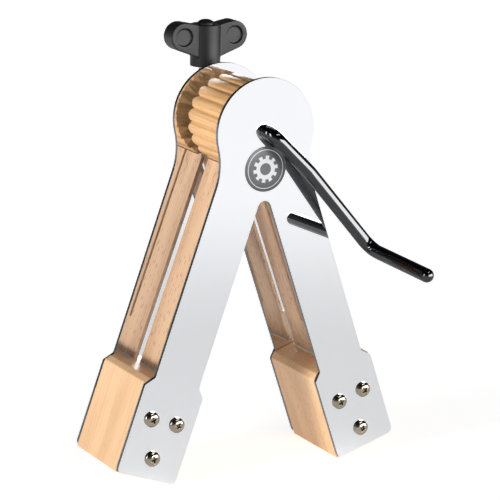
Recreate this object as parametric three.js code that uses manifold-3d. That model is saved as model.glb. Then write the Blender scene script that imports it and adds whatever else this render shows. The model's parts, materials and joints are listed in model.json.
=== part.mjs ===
// Mountable wooden ratchet: a toothed beech wheel turned by a bent-rod crank between two
// polished steel side plates, with a split wooden tongue standing in each leg and a rod clamp
// with a wing screw at the back.  Millimetres, +Z up, crank axis along Y, grip towards -Y.
import * as THREE from 'three';
import { mergeVertices } from 'three/addons/utils/BufferGeometryUtils.js';
import Module from 'manifold-3d';

const wasm = await Module();
wasm.setup();

// ---------- clearances ----------
const GAP = 0.3; // round piece standing still in its hole, all round
const RUN = 0.1; // radius clearance of the turning shaft in its holes
const SEAT = 0.02; // between two flat faces that rest on each other
const TIP_CLEARANCE = 0.4; // tongue tip to the circle of the tooth crests
const SLOT_CLEARANCE = 0.45; // each side of a tongue's root in its block, room for its flex

// ---------- side plates ----------
const PLATE_THICK = 2.3;
const PLATE_SPACING = 50.9; // clear width between the plates
const HEAD_RADIUS = 30.6;
const LEG_SPLAY = 0.335; // each leg from the vertical, radians
const LEG_OUTER = 18.9; // leg's outer edge from the line through the axis
const LEG_INNER = -10.3;
const WAIST_FILLET = 40; // head flowing into the leg's outer edge
const CROTCH_FILLET = 4.1; // between the two inner edges
const FOOT_TOP = 154.9; // distances below the axis, measured along a leg
const FOOT_END = 206.9;
const FOOT_OUTER = 23.9;
const FOOT_INNER = -14.8;
const FOOT_CORNER = 3.2;
const SHOULDER_SLOPE = 1.05; // run along the leg for each millimetre the foot widens
const SHOULDER_ROUNDING = 1.6;

// ---------- end blocks ----------
const BLOCK_TOP = 151; // along the leg
const BLOCK_CHAMFER = 2.9;
const BLOCK_OVERHANG = 0.2; // block beyond the plate's end
const BLOCK_END = FOOT_END + BLOCK_OVERHANG;

// ---------- tongues ----------
const TONGUE_THICK = 2.4;
const TONGUE_SIDE_GAP = 3.9; // to each plate
const TONGUE_ROOT_OFFSET = 2.26; // middle of the tongue at the block's top, outwards
const TONGUE_TIP_OFFSET = 0.8; // middle of the tongue at its tip
const TONGUE_ROOT_DEPTH = 14; // held inside the block
const KERF_WIDTH = 2.4;
const KERF_OFFSET = 1.2; // from the tongue's middle, towards the rear plate
const KERF_END = 129.5; // where the saw cut stops, along the leg

// ---------- toothed wheel ----------
const TOOTH_COUNT = 20;
const CREST_RADIUS = 25.6;
const NOTCH_DEPTH = 1.5;
const NOTCH_STEEP = 0.95; // run of the notch's short side along the rim
const NOTCH_LONG = 1.75;
const CREST_ROUNDING = 0.22; // drop of the crest's corners below its middle
const WHEEL_SIDE_GAP = 7.2; // to each plate
const FACE_GROOVE_DEPTH = 2.4; // at the rim, of the V grooves that fan out over each end face
const FACE_GROOVE_HALF_WIDTH = 3.5;
const FACE_GROOVE_START = 8.6; // radius where they rise out of the face

// ---------- crank rod ----------
const ROD_RADIUS = 4;
const ROD_SEGMENTS = 24;
const CRANK_CORNERS = {
  elbow: new THREE.Vector3(0, -7.6, 0),
  kink: new THREE.Vector3(22.6, -10.6, -23),
  wrist: new THREE.Vector3(59.7, -18.7, -69.1),
  tip: new THREE.Vector3(62, -78.7, -71.9),
};
const ELBOW_BEND = 7;
const KINK_BEND = 60;
const WRIST_BEND = 9;
const SHAFT_BEYOND_PLATE = 3.4; // shaft end past the rear plate

// ---------- spacers and what keeps the wheel on the shaft ----------
const SPACER_RADIUS = 7.4;
const PIN_RADIUS = 1.5;
const PIN_LENGTH = 26;
const WASHER_THICK = 0.8;
const WASHER_RADIUS = 7.2;
const CLIP_THICK = 0.8;
const CLIP_RADIUS = 6;
const CLIP_GROOVE_DEPTH = 0.8;
const CLIP_MOUTH = 3.4; // half width of the clip's open side

// ---------- wood screws ----------
const SCREW_HEAD_RADIUS = 4.45;
const SCREW_HEAD_HEIGHT = 2.9;
const SCREW_SHANK_RADIUS = 2.1;
const SCREW_LENGTH = 19; // under the head
const SCREW_UPPER = 173.1; // along the leg
const SCREW_LOWER = 195;
const SCREW_HALF_PITCH = 8.35;
const RECESS_WIDTH = 1;
const RECESS_SPAN = 4.6;
const RECESS_DEPTH = 1.7;

// ---------- round badge on the front plate ----------
const BADGE_RADIUS = 13;
const BADGE_THICK = 0.25;
const BADGE_DROP = 21.4; // centre below the axis

// ---------- rod clamp on the rear plate ----------
const CLAMP_FLANGE = { width: 35, height: 25, thick: 4, corner: 4 };
const CLAMP_ROD_RADIUS = 5.3; // takes a rod of 9.5 or 10 mm
const CLAMP_RING_WALL = 5.2;
const CLAMP_ROD_DISTANCE = 19.5; // rod's centre from the rear plate's outer face
const CLAMP_WIDTH = 15;
const CLAMP_NECK_HEIGHT = 18;
const CLAMP_BOSS_TOP = 12; // above the axis
const CLAMP_BOSS_LENGTH = 16;
const CLAMP_POCKET_RADIUS = 9; // clears the washer and clip on the shaft's end
const CLAMP_POCKET_DEPTH = 4.6;
const CLAMP_SCREW_SPACING = 25;
const CLAMP_SCREW_RADIUS = 2;
const CLAMP_SCREW_HEAD_RADIUS = 3.8;

// ---------- wing screw ----------
const STUD_RADIUS = 3.9;
const STUD_HEAD_RADIUS = 5;
const STUD_HEAD_HEIGHT = 5;
const STUD_TIP = 8.6; // heights above the axis
const BARREL_BOTTOM = 25.5;
const BARREL_TOP = 50;
const BARREL_RADIUS = 8.9;
const WING_THICK = 11;
const LOBE_RADIUS = 8.3;
const LOBE_REACH = 16.3; // lobe's centre from the screw's axis
const LOBE_HEIGHT = 43.4;
const WING_ROOT_LOW = 31.5; // where the wing's lower edge meets the barrel
const WING_ROOT_HIGH = 48.6;
const LOBE_DISH_RADIUS = 5.2;
const LOBE_DISH_DEPTH = 1.3;
const CAP_DOME_HEIGHT = 2.8;
const CAP_STEM = 3;
const PAD_THICK = 2.4;
const PAD_STEM_RADIUS = 1.5;
const PAD_STEM_HEIGHT = 3.4;

// ---------- sizes that follow ----------
const REAR_INNER = PLATE_THICK + PLATE_SPACING;
const REAR_OUTER = REAR_INNER + PLATE_THICK;
const MIDDLE = PLATE_THICK + PLATE_SPACING / 2;
const SHAFT_RUN = ROD_RADIUS + RUN;
const WHEEL_FRONT = PLATE_THICK + WHEEL_SIDE_GAP;
const WHEEL_WIDTH = PLATE_SPACING - 2 * WHEEL_SIDE_GAP;
const TONGUE_WIDTH = PLATE_SPACING - 2 * TONGUE_SIDE_GAP;
const TONGUE_TIP = CREST_RADIUS + TIP_CLEARANCE;
const TONGUE_LEAN = Math.atan2(TONGUE_ROOT_OFFSET - TONGUE_TIP_OFFSET, BLOCK_TOP - TONGUE_TIP);
const SHAFT_END = REAR_OUTER + SHAFT_BEYOND_PLATE;
const ROD_Y = REAR_OUTER + CLAMP_ROD_DISTANCE;
const CLAMP_RING_RADIUS = CLAMP_ROD_RADIUS + CLAMP_RING_WALL;
const STUD_HOLE_RADIUS = STUD_RADIUS + GAP;
const FOOT_MIDDLE = (FOOT_OUTER + FOOT_INNER) / 2;
const FLOOR = BLOCK_END * Math.cos(LEG_SPLAY) - FOOT_INNER * Math.sin(LEG_SPLAY);
const MID_DEPTH = (ROD_Y + CLAMP_RING_RADIUS + CRANK_CORNERS.tip.y) / 2;

const COLOURS = {
  plate: { color: 0xe4e6ea, roughness: 0.06, metalness: 1 },
  beech: { color: 0xe8c396, roughness: 0.55, metalness: 0 },
  blackChrome: { color: 0x2b2c2f, roughness: 0.08, metalness: 1 },
  nickel: { color: 0xb9b09f, roughness: 0.22, metalness: 1 },
  steel: { color: 0xa9abae, roughness: 0.32, metalness: 1 },
  nylon: { color: 0xe9e6dc, roughness: 0.5, metalness: 0 },
  cast: { color: 0x1d1e20, roughness: 0.5, metalness: 0.3 },
  plastic: { color: 0x1a1b1d, roughness: 0.45, metalness: 0 },
  badge: { color: 0x3d4043, roughness: 0.45, metalness: 0 },
  brass: { color: 0xb8903f, roughness: 0.3, metalness: 1 },
};

// ---------- solids ----------
/** Closed geometry to a manifold solid. */
function solid(geometry) {
  const bare = geometry.clone();
  bare.deleteAttribute('normal');
  bare.deleteAttribute('uv');
  const merged = mergeVertices(bare, 1e-5);
  return new wasm.Manifold(new wasm.Mesh({
    numProp: 3,
    vertProperties: new Float32Array(merged.attributes.position.array),
    triVerts: new Uint32Array(merged.index.array),
  }));
}

/** Manifold solid back to a geometry. */
function geometryOf(body) {
  const mesh = body.getMesh();
  const points = new Float32Array(mesh.numVert * 3);
  for (let i = 0; i < mesh.numVert; i += 1) {
    for (let k = 0; k < 3; k += 1) points[3 * i + k] = mesh.vertProperties[mesh.numProp * i + k];
  }
  const geometry = new THREE.BufferGeometry();
  geometry.setAttribute('position', new THREE.BufferAttribute(points, 3));
  geometry.setIndex([...mesh.triVerts]);
  geometry.computeVertexNormals();
  return geometry;
}

const join = (first, ...others) => others.reduce((sum, next) => sum.add(next), first);
const cut = (first, ...tools) => tools.reduce((rest, tool) => rest.subtract(tool), first);

/** Named mesh with a material of its own. */
function piece(name, body, look) {
  const geometry = body instanceof THREE.BufferGeometry ? body : geometryOf(body);
  const mesh = new THREE.Mesh(geometry, new THREE.MeshStandardMaterial(COLOURS[look]));
  mesh.name = name;
  return mesh;
}

/** Outline in the XZ plane drawn from y = front to y = front + depth. */
function slab(shape, front, depth, curveSegments = 12) {
  const geometry = new THREE.ExtrudeGeometry(shape, { depth, bevelEnabled: false, curveSegments });
  return geometry.rotateX(Math.PI / 2).translate(0, front + depth, 0);
}

function box(x, y, z) {
  const size = [x[1] - x[0], y[1] - y[0], z[1] - z[0]];
  const geometry = new THREE.BoxGeometry(...size);
  geometry.translate((x[0] + x[1]) / 2, (y[0] + y[1]) / 2, (z[0] + z[1]) / 2);
  return geometry;
}

/** Turned piece about Z from [radius, z] pairs that start and end on the axis. */
function turnedZ(profile, segments = ROD_SEGMENTS) {
  return new THREE.LatheGeometry(profile.map(([r, z]) => new THREE.Vector2(r, z)), segments)
    .rotateX(Math.PI / 2);
}

/** Turned piece about Y from [radius, y] pairs that rise in y. */
function turnedY(profile, segments = ROD_SEGMENTS) {
  return new THREE.LatheGeometry(profile.map(([r, y]) => new THREE.Vector2(r, y)), segments);
}

const roundY = (radius, front, back, segments) => turnedY(
  [[0, front], [radius, front], [radius, back], [0, back]],
  segments,
);

const roundZ = (radius, low, high, segments) => turnedZ(
  [[0, low], [radius, low], [radius, high], [0, high]],
  segments,
);

const roundX = (radius, half, segments) => roundZ(radius, -half, half, segments)
  .rotateY(Math.PI / 2);

/** Polygon whose corners are rounded, each corner given as [x, z, radius]. */
function roundedPolygon(corners, steps = 6) {
  const points = [];
  corners.forEach(([x, z, radius], i) => {
    const here = new THREE.Vector2(x, z);
    const before = corners[(i + corners.length - 1) % corners.length];
    const after = corners[(i + 1) % corners.length];
    const back = new THREE.Vector2(before[0], before[1]).sub(here).normalize();
    const on = new THREE.Vector2(after[0], after[1]).sub(here).normalize();
    if (!radius) {
      points.push(here);
      return;
    }
    const half = Math.acos(back.dot(on)) / 2;
    const centre = here.clone().add(back.clone().add(on).normalize()
      .multiplyScalar(radius / Math.sin(half)));
    const reach = radius / Math.tan(half);
    const start = here.clone().addScaledVector(back, reach).sub(centre);
    const end = here.clone().addScaledVector(on, reach).sub(centre);
    const turn = Math.atan2(start.cross(end), start.dot(end));
    for (let k = 0; k <= steps; k += 1) {
      points.push(start.clone().rotateAround(new THREE.Vector2(), turn * k / steps).add(centre));
    }
  });
  return points;
}

// ---------- side plates ----------
/** Leg coordinates to the XZ plane: along the leg from the axis, outwards from its line. */
function legPoint(side, along, out) {
  const sin = Math.sin(LEG_SPLAY);
  const cos = Math.cos(LEG_SPLAY);
  return new THREE.Vector2(side * (along * sin + out * cos), -along * cos + out * sin);
}

/** Right side of the head: its arc, then the hollow that runs into the leg's outer edge. */
function headAndWaist() {
  const waist = Math.asin((LEG_OUTER + WAIST_FILLET) / (HEAD_RADIUS + WAIST_FILLET));
  const lowest = Math.PI / 2 - LEG_SPLAY - waist; // end of the head's arc, below the horizontal
  const points = [];
  const headSteps = 24;
  for (let k = 0; k <= headSteps; k += 1) {
    const angle = Math.PI / 2 - (Math.PI / 2 + lowest) * (k / headSteps);
    points.push(new THREE.Vector2(HEAD_RADIUS * Math.cos(angle), HEAD_RADIUS * Math.sin(angle)));
  }
  const filletSteps = 7;
  const reach = (HEAD_RADIUS + WAIST_FILLET) * Math.cos(waist);
  for (let k = 1; k <= filletSteps; k += 1) {
    const turn = waist + (Math.PI / 2 - waist) * (k / filletSteps);
    const along = reach - WAIST_FILLET * Math.cos(turn);
    const out = LEG_OUTER + WAIST_FILLET * (1 - Math.sin(turn));
    points.push(legPoint(1, along, out));
  }
  return points;
}

/** Corners of the right leg below the waist as [along, out, rounding]. */
function legCorners() {
  const outerStart = FOOT_TOP - SHOULDER_SLOPE * (FOOT_OUTER - LEG_OUTER);
  const innerStart = FOOT_TOP - SHOULDER_SLOPE * (LEG_INNER - FOOT_INNER);
  return [
    [outerStart, LEG_OUTER, SHOULDER_ROUNDING],
    [FOOT_TOP, FOOT_OUTER, SHOULDER_ROUNDING],
    [FOOT_END, FOOT_OUTER, FOOT_CORNER],
    [FOOT_END, FOOT_INNER, FOOT_CORNER],
    [FOOT_TOP, FOOT_INNER, SHOULDER_ROUNDING],
    [innerStart, LEG_INNER, SHOULDER_ROUNDING],
  ];
}

/** Plate's whole edge: two legs under a round head. */
function plateOutline() {
  const head = headAndWaist().map((p) => [p.x, p.y, 0]);
  const right = legCorners().map(([along, out, radius]) => {
    const at = legPoint(1, along, out);
    return [at.x, at.y, radius];
  });
  const crotch = [0, LEG_INNER / Math.sin(LEG_SPLAY), CROTCH_FILLET];
  const half = [...head.slice(1), ...right];
  const mirrored = half.map(([x, z, radius]) => [-x, z, radius]).reverse();
  return new THREE.Shape(roundedPolygon([head[0], ...half, crotch, ...mirrored], 5));
}

/** Screw places on a foot, in leg coordinates. */
const FOOT_SCREWS = {
  outer: [SCREW_UPPER, FOOT_MIDDLE + SCREW_HALF_PITCH],
  inner: [SCREW_UPPER, FOOT_MIDDLE - SCREW_HALF_PITCH],
  lower: [SCREW_LOWER, FOOT_MIDDLE],
};

function sidePlate(name, front, extraCuts = []) {
  const body = solid(slab(plateOutline(), front, PLATE_THICK));
  const tools = [solid(roundY(SHAFT_RUN, front - 1, front + PLATE_THICK + 1))];
  for (const side of [-1, 1]) {
    for (const [along, out] of Object.values(FOOT_SCREWS)) {
      const at = legPoint(side, along, out);
      const hole = roundY(SCREW_SHANK_RADIUS + GAP, front - 1, front + PLATE_THICK + 1, 16);
      tools.push(solid(hole.translate(at.x, 0, at.y)));
    }
  }
  return piece(name, cut(body, ...tools, ...extraCuts), 'plate');
}

// ---------- wood screws ----------
/** Pan-head screw with its head towards -Y and the head's seat at y = 0. */
function woodScrewGeometry() {
  const head = turnedY([
    [0, -SCREW_HEAD_HEIGHT],
    [SCREW_HEAD_RADIUS * 0.55, -SCREW_HEAD_HEIGHT * 0.94],
    [SCREW_HEAD_RADIUS * 0.86, -SCREW_HEAD_HEIGHT * 0.72],
    [SCREW_HEAD_RADIUS, -SCREW_HEAD_HEIGHT * 0.36],
    [SCREW_HEAD_RADIUS, 0],
    [SCREW_SHANK_RADIUS, 0],
    [SCREW_SHANK_RADIUS, SCREW_LENGTH - 4],
    [0, SCREW_LENGTH],
  ], 18);
  const half = RECESS_WIDTH / 2;
  const span = RECESS_SPAN / 2;
  const depth = [-SCREW_HEAD_HEIGHT - 1, -SCREW_HEAD_HEIGHT + RECESS_DEPTH];
  return geometryOf(cut(
    solid(head),
    solid(box([-half, half], depth, [-span, span])),
    solid(box([-span, span], depth, [-half, half])),
  ));
}

function woodScrews() {
  const group = new THREE.Group();
  for (const [sideName, side] of [['left', -1], ['right', 1]]) {
    for (const [place, [along, out]] of Object.entries(FOOT_SCREWS)) {
      const at = legPoint(side, along, out);
      const front = piece(`front_${sideName}_${place}_screw`, woodScrewGeometry(), 'nickel');
      front.position.set(at.x, -SEAT, at.y);
      const rear = piece(`rear_${sideName}_${place}_screw`, woodScrewGeometry(), 'nickel');
      rear.position.set(at.x, REAR_OUTER + SEAT, at.y);
      rear.rotation.z = Math.PI;
      group.add(front, rear);
    }
  }
  return group;
}

// ---------- legs: end block and tongue ----------
/** Placed at a tongue's root: the middle of its thickness at the block's top face. */
function tongueGroup(side) {
  const group = new THREE.Group();
  group.position.set(side * TONGUE_ROOT_OFFSET, MIDDLE, -BLOCK_TOP);
  group.rotation.y = -side * TONGUE_LEAN;
  return group;
}

/** Block's outline in its leg's own axes, with both upper edges chamfered. */
function blockOutline(side) {
  return new THREE.Shape([
    [FOOT_INNER + BLOCK_CHAMFER, BLOCK_TOP],
    [FOOT_OUTER - BLOCK_CHAMFER, BLOCK_TOP],
    [FOOT_OUTER, BLOCK_TOP + BLOCK_CHAMFER],
    [FOOT_OUTER, BLOCK_END],
    [FOOT_INNER, BLOCK_END],
    [FOOT_INNER, BLOCK_TOP + BLOCK_CHAMFER],
  ].map(([out, along]) => new THREE.Vector2(side * out, -along)));
}

function endBlock(name, side) {
  const width = [PLATE_THICK + SEAT, REAR_INNER - SEAT];
  const body = solid(slab(blockOutline(side), width[0], width[1] - width[0]));
  const halfSlot = TONGUE_THICK / 2 + SLOT_CLEARANCE;
  const halfWidth = TONGUE_WIDTH / 2 + GAP;
  const slot = box([-halfSlot, halfSlot], [-halfWidth, halfWidth], [-TONGUE_ROOT_DEPTH - GAP, 2]);
  const place = tongueGroup(side);
  place.updateMatrix();
  const tools = [solid(slot.applyMatrix4(place.matrix))];
  for (const [along, out] of Object.values(FOOT_SCREWS)) {
    const depth = SCREW_LENGTH - PLATE_THICK + GAP;
    const holes = [[width[0] - 1, PLATE_THICK + depth], [REAR_INNER - depth, width[1] + 1]];
    for (const [from, to] of holes) {
      const hole = roundY(SCREW_SHANK_RADIUS + GAP, from, to, 16);
      tools.push(solid(hole.translate(side * out, 0, -along)));
    }
  }
  return piece(name, cut(body, ...tools), 'beech');
}

/** Wooden tongue standing on its root, split by a saw cut from its tip. */
function tongue(name) {
  const height = (BLOCK_TOP - TONGUE_TIP) / Math.cos(TONGUE_LEAN);
  const half = TONGUE_THICK / 2;
  const body = solid(box(
    [-half, half],
    [-TONGUE_WIDTH / 2, TONGUE_WIDTH / 2],
    [-TONGUE_ROOT_DEPTH, height],
  ));
  const kerfFoot = BLOCK_TOP - KERF_END + KERF_WIDTH / 2;
  const walls = [KERF_OFFSET - KERF_WIDTH / 2, KERF_OFFSET + KERF_WIDTH / 2];
  const kerf = box([-half - 1, half + 1], walls, [kerfFoot, height + 1]);
  const eye = roundX(KERF_WIDTH / 2, half + 1, 12).translate(0, KERF_OFFSET, kerfFoot);
  return piece(name, cut(body, join(solid(kerf), solid(eye))), 'beech');
}

function leg(sideName, side) {
  const group = new THREE.Group();
  group.rotation.y = -side * LEG_SPLAY;
  const root = tongueGroup(side);
  root.add(tongue(`${sideName}_tongue`));
  group.add(endBlock(`${sideName}_end_block`, side), root);
  return group;
}

// ---------- wheel ----------
function wheelOutline() {
  const pitch = (2 * Math.PI) / TOOTH_COUNT;
  const steep = NOTCH_STEEP / CREST_RADIUS;
  const long = NOTCH_LONG / CREST_RADIUS;
  const crest = pitch - steep - long;
  const profile = [
    [0, CREST_RADIUS - NOTCH_DEPTH],
    [long, CREST_RADIUS - CREST_ROUNDING],
    [long + crest * 0.3, CREST_RADIUS],
    [long + crest * 0.7, CREST_RADIUS],
    [long + crest, CREST_RADIUS - CREST_ROUNDING],
  ];
  const points = [];
  for (let tooth = 0; tooth < TOOTH_COUNT; tooth += 1) {
    for (const [turn, radius] of profile) {
      const angle = tooth * pitch + turn;
      points.push(new THREE.Vector2(radius * Math.cos(angle), radius * Math.sin(angle)));
    }
  }
  return new THREE.Shape(points);
}

/** V groove in an end face that grows from nothing near the hub, one for each notch. */
function faceGroove(faceY, tooth) {
  const reach = CREST_RADIUS - FACE_GROOVE_START;
  const length = reach + 1;
  const deep = FACE_GROOVE_DEPTH * length / reach;
  const wide = FACE_GROOVE_HALF_WIDTH * length / reach;
  return new THREE.ConeGeometry(1, length, 4)
    .translate(0, -length / 2, 0)
    .scale(deep, 1, wide)
    .rotateZ(Math.PI / 2)
    .translate(FACE_GROOVE_START, faceY, 0)
    .rotateY(-2 * Math.PI * tooth / TOOTH_COUNT);
}

function toothedWheel() {
  const body = solid(slab(wheelOutline(), WHEEL_FRONT, WHEEL_WIDTH));
  const bore = solid(roundY(ROD_RADIUS + GAP, WHEEL_FRONT - 1, WHEEL_FRONT + WHEEL_WIDTH + 1));
  const fan = [];
  for (let tooth = 0; tooth < TOOTH_COUNT; tooth += 1) {
    fan.push(solid(faceGroove(WHEEL_FRONT, tooth)));
    fan.push(solid(faceGroove(WHEEL_FRONT + WHEEL_WIDTH, tooth)));
  }
  const halfLength = PIN_LENGTH / 2 + GAP;
  const halfGroove = PIN_RADIUS + GAP;
  const pinSlot = box(
    [-halfLength, halfLength],
    [WHEEL_FRONT - 1, WHEEL_FRONT + 2 * PIN_RADIUS + 2 * GAP],
    [-halfGroove, halfGroove],
  );
  return piece('toothed_wheel', cut(body, bore, solid(pinSlot), ...fan), 'beech');
}

const PIN_Y = WHEEL_FRONT + PIN_RADIUS + GAP;

function drivePin() {
  return piece('drive_pin', roundX(PIN_RADIUS, PIN_LENGTH / 2, 16).translate(0, PIN_Y, 0), 'steel');
}

// ---------- crank ----------
/** Path through given points whose straight runs are joined by round bends. */
class BentRod extends THREE.Curve {
  constructor(corners, bendRadii, bendSteps = 7) {
    super();
    this.places = [];
    this.tangents = [];
    corners.forEach((corner, i) => {
      const radius = bendRadii[i];
      if (!radius) {
        const run = i === 0 ? corners[1].clone().sub(corner) : corner.clone().sub(corners[i - 1]);
        this.mark(corner.clone(), run.normalize());
        return;
      }
      const into = corner.clone().sub(corners[i - 1]).normalize();
      const out = corners[i + 1].clone().sub(corner).normalize();
      const turn = into.angleTo(out);
      const reach = radius * Math.tan(turn / 2);
      const start = corner.clone().addScaledVector(into, -reach);
      const normal = out.clone().addScaledVector(into, -out.dot(into)).normalize();
      const steps = Math.max(2, Math.round(bendSteps * turn / (Math.PI / 2)));
      for (let k = 0; k <= steps; k += 1) {
        const angle = turn * k / steps;
        const place = start.clone()
          .addScaledVector(into, radius * Math.sin(angle))
          .addScaledVector(normal, radius * (1 - Math.cos(angle)));
        const tangent = into.clone().multiplyScalar(Math.cos(angle))
          .addScaledVector(normal, Math.sin(angle));
        this.mark(place, tangent);
      }
    });
  }

  mark(place, tangent) {
    this.places.push(place);
    this.tangents.push(tangent);
  }

  get steps() {
    return this.places.length - 1;
  }

  getPointAt(u, target = new THREE.Vector3()) {
    return target.copy(this.places[Math.round(u * this.steps)]);
  }

  getTangentAt(u, target = new THREE.Vector3()) {
    return target.copy(this.tangents[Math.round(u * this.steps)]);
  }

  getSpacedPoints() {
    return this.places.map((place) => place.clone());
  }
}

function crank() {
  const { elbow, kink, wrist, tip } = CRANK_CORNERS;
  const gripRun = tip.clone().sub(wrist).normalize();
  const domeSeat = tip.clone().addScaledVector(gripRun, -ROD_RADIUS);
  const path = new BentRod(
    [new THREE.Vector3(0, SHAFT_END, 0), elbow, kink, wrist, domeSeat],
    [0, ELBOW_BEND, KINK_BEND, WRIST_BEND, 0],
  );
  const section = new THREE.Shape().absarc(0, 0, ROD_RADIUS, 0, 2 * Math.PI);
  const rod = new THREE.ExtrudeGeometry(section, {
    steps: path.steps, extrudePath: path, bevelEnabled: false, curveSegments: ROD_SEGMENTS,
  });
  const dome = new THREE.SphereGeometry(ROD_RADIUS, ROD_SEGMENTS, 12);
  dome.applyQuaternion(new THREE.Quaternion()
    .setFromUnitVectors(new THREE.Vector3(0, 1, 0), gripRun));
  dome.translate(domeSeat.x, domeSeat.y, domeSeat.z);
  const pinHole = roundX(PIN_RADIUS + GAP / 2, ROD_RADIUS + 1, 16).translate(0, PIN_Y, 0);
  const floor = ROD_RADIUS - CLIP_GROOVE_DEPTH;
  const [from, to] = [CLIP_Y - SEAT, CLIP_Y + CLIP_THICK + 2 * SEAT];
  const groove = cut(
    solid(roundY(ROD_RADIUS + 1, from, to)),
    solid(roundY(floor, from - 1, to + 1)),
  );
  return piece('crank_rod', cut(join(solid(rod), solid(dome)), solid(pinHole), groove), 'blackChrome');
}

// ---------- spacers, washer and clip ----------
/** Nylon collar between a plate and the wheel, with end play at both faces. */
function spacer(name, front) {
  const [from, to] = [front + GAP, front + WHEEL_SIDE_GAP - GAP];
  const ring = cut(
    solid(roundY(SPACER_RADIUS, from, to, 32)),
    solid(roundY(SHAFT_RUN, from - 1, to + 1)),
  );
  return piece(name, ring, 'nylon');
}

const CLIP_Y = REAR_OUTER + WASHER_THICK + 3 * SEAT + 0.2;

function thrustWasher() {
  const front = REAR_OUTER + SEAT;
  const ring = cut(
    solid(roundY(WASHER_RADIUS, front, front + WASHER_THICK)),
    solid(roundY(SHAFT_RUN + 0.2, front - 1, front + WASHER_THICK + 1)),
  );
  return piece('thrust_washer', ring, 'steel');
}

/** Spring clip with an open side, seated in the shaft's groove. */
function retainingClip() {
  const bore = ROD_RADIUS - CLIP_GROOVE_DEPTH + RUN;
  const [from, to] = [CLIP_Y, CLIP_Y + CLIP_THICK];
  const mouth = box([-CLIP_MOUTH, CLIP_MOUTH], [from - 1, to + 1], [-CLIP_RADIUS - 1, 0]);
  const ring = cut(
    solid(roundY(CLIP_RADIUS, from, to)),
    solid(roundY(bore, from - 1, to + 1)),
    solid(mouth),
  );
  return piece('retaining_clip', ring, 'steel');
}

// ---------- badge ----------
function badge() {
  const disc = roundY(BADGE_RADIUS, -SEAT - BADGE_THICK, -SEAT, 48);
  return piece('badge', disc.translate(0, 0, -BADGE_DROP), 'badge');
}

// ---------- rod clamp ----------
function clampBody() {
  const { width, height, thick, corner } = CLAMP_FLANGE;
  const front = REAR_OUTER + SEAT;
  const outline = roundedPolygon([
    [-width / 2, -height / 2, corner],
    [width / 2, -height / 2, corner],
    [width / 2, height / 2, corner],
    [-width / 2, height / 2, corner],
  ]);
  const half = CLAMP_WIDTH / 2;
  const neck = box(
    [-half, half],
    [front + thick - 1, ROD_Y],
    [-CLAMP_NECK_HEIGHT / 2, CLAMP_NECK_HEIGHT / 2],
  );
  const ring = roundX(CLAMP_RING_RADIUS, half, 32).translate(0, ROD_Y, 0);
  const boss = box(
    [-half, half],
    [ROD_Y - CLAMP_BOSS_LENGTH / 2, ROD_Y + CLAMP_BOSS_LENGTH / 2],
    [0, CLAMP_BOSS_TOP],
  );
  const rodHole = roundX(CLAMP_ROD_RADIUS, half + 1, 32).translate(0, ROD_Y, 0);
  const studHole = roundZ(STUD_HOLE_RADIUS, 0, CLAMP_BOSS_TOP + 1).translate(0, ROD_Y, 0);
  const pocket = roundY(CLAMP_POCKET_RADIUS, front - 1, front + CLAMP_POCKET_DEPTH, 32);
  const screwHoles = [-1, 1].map((side) => solid(
    roundY(CLAMP_SCREW_RADIUS + GAP, front - 1, front + thick + 1, 16)
      .translate(side * CLAMP_SCREW_SPACING / 2, 0, 0),
  ));
  const body = join(
    solid(slab(new THREE.Shape(outline), front, thick)),
    solid(neck),
    solid(ring),
    solid(boss),
  );
  const tools = [solid(rodHole), solid(studHole), solid(pocket), ...screwHoles];
  return piece('clamp_body', cut(body, ...tools), 'cast');
}

/** Cone that a countersunk head fills, grown all round by a clearance. */
function countersink(grow) {
  const face = REAR_INNER;
  const radius = CLAMP_SCREW_HEAD_RADIUS + grow;
  const depth = CLAMP_SCREW_HEAD_RADIUS - CLAMP_SCREW_RADIUS;
  return { face, radius, depth };
}

function countersinkCuts() {
  const { face, radius, depth } = countersink(GAP);
  return [-1, 1].map((side) => {
    const cone = turnedY([
      [0, face - 1],
      [radius, face - 1],
      [radius, face],
      [CLAMP_SCREW_RADIUS + GAP, face + depth],
      [CLAMP_SCREW_RADIUS + GAP, REAR_OUTER + 1],
      [0, REAR_OUTER + 1],
    ], 16);
    return solid(cone.translate(side * CLAMP_SCREW_SPACING / 2, 0, 0));
  });
}

function clampScrew(name, side) {
  const { face, radius, depth } = countersink(0);
  const end = REAR_OUTER + CLAMP_FLANGE.thick;
  const body = turnedY([
    [0, face],
    [radius, face],
    [CLAMP_SCREW_RADIUS, face + depth],
    [CLAMP_SCREW_RADIUS, end],
    [0, end],
  ], 16);
  const half = RECESS_WIDTH / 2;
  const span = CLAMP_SCREW_HEAD_RADIUS * 0.55;
  const reach = [face - 1, face + depth * 0.7];
  const cross = [
    solid(box([-half, half], reach, [-span, span])),
    solid(box([-span, span], reach, [-half, half])),
  ];
  const mesh = piece(name, cut(solid(body), ...cross), 'steel');
  mesh.position.x = side * CLAMP_SCREW_SPACING / 2;
  return mesh;
}

// ---------- wing screw ----------
/** Right wing's outline: lobe and the straight edges that run to the barrel. */
function wingShape(side) {
  const points = [];
  const anchorLow = new THREE.Vector2(0, WING_ROOT_LOW - 3);
  const anchorHigh = new THREE.Vector2(0, WING_ROOT_HIGH);
  const centre = new THREE.Vector2(LOBE_REACH, LOBE_HEIGHT);
  const touch = (anchor, sign) => {
    const line = centre.clone().sub(anchor);
    return line.angle() + sign * (Math.PI / 2 + Math.asin(LOBE_RADIUS / line.length()));
  };
  const from = touch(anchorLow, -1);
  const to = touch(anchorHigh, 1);
  const steps = 16;
  points.push(anchorLow);
  for (let k = 0; k <= steps; k += 1) {
    const angle = from + (((to - from) + 2 * Math.PI) % (2 * Math.PI)) * (k / steps);
    points.push(new THREE.Vector2(Math.cos(angle), Math.sin(angle))
      .multiplyScalar(LOBE_RADIUS).add(centre));
  }
  points.push(anchorHigh);
  return new THREE.Shape(points.map((p) => new THREE.Vector2(side * p.x, p.y)));
}

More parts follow.
